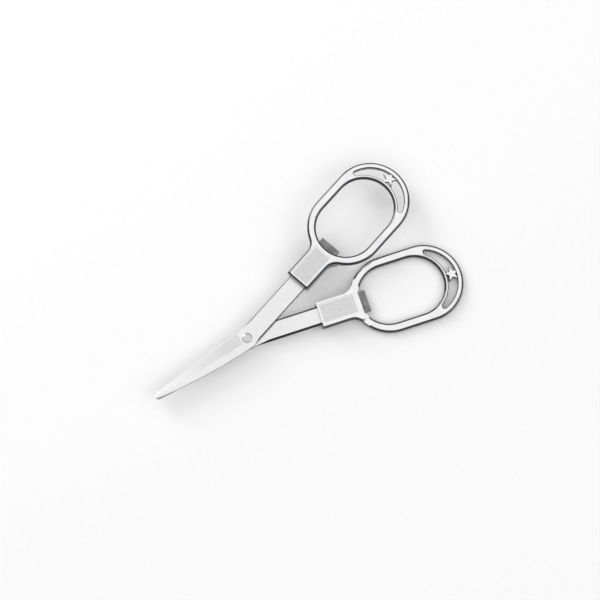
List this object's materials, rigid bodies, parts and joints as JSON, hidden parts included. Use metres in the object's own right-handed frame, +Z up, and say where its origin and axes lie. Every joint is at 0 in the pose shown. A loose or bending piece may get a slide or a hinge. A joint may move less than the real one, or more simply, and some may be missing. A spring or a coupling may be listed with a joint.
{
  "type": "folding thread snips",
  "caption": "Small folding scissors: two riveted steel blades with chromed finger bows that fold back over them.",
  "frame": {"origin": "middle of the underside of the unfolded, closed snips", "axes": "+X towards the finger bows along the centre line, blade tips to -X, +Z up, square to the blades"},
  "size_m": [0.1102, 0.0594, 0.0078],
  "materials": {
    "blade_steel": "satin ground stainless",
    "bow_chrome": "polished nickel chrome",
    "rivet_steel": "turned steel",
    "spring_steel": "tempered spring steel"
  },
  "bodies": {
    "back_half": {"blade_back": "blade_steel", "pivot_rivet": "rivet_steel", "pivot_washer": "rivet_steel"},
    "front_half": {"blade_front": "blade_steel"},
    "front_bow": {"bow_front": "bow_chrome", "fold_pin_front": "rivet_steel", "detent_spring_front": "spring_steel", "spring_rivet_front": "rivet_steel"},
    "back_bow": {"bow_back": "bow_chrome", "fold_pin_back": "rivet_steel", "detent_spring_back": "spring_steel", "spring_rivet_back": "rivet_steel"}
  },
  "joints": [
    {"name": "blade_pivot", "type": "hinge", "parent": "back_half", "child": "front_half", "pos_m": [-0.01891, 0, 0.0039], "axis": [0, 0, 1], "range_deg": [0, 75]},
    {"name": "fold_front", "type": "hinge", "parent": "front_half", "child": "front_bow", "pos_m": [0.00899, 0.00755, 0.0039], "axis": [0, 0, 1], "range_deg": [0, 180]},
    {"name": "fold_back", "type": "hinge", "parent": "back_half", "child": "back_bow", "pos_m": [0.00899, -0.00755, 0.0039], "axis": [0, 0, -1], "range_deg": [0, 180]}
  ]
}
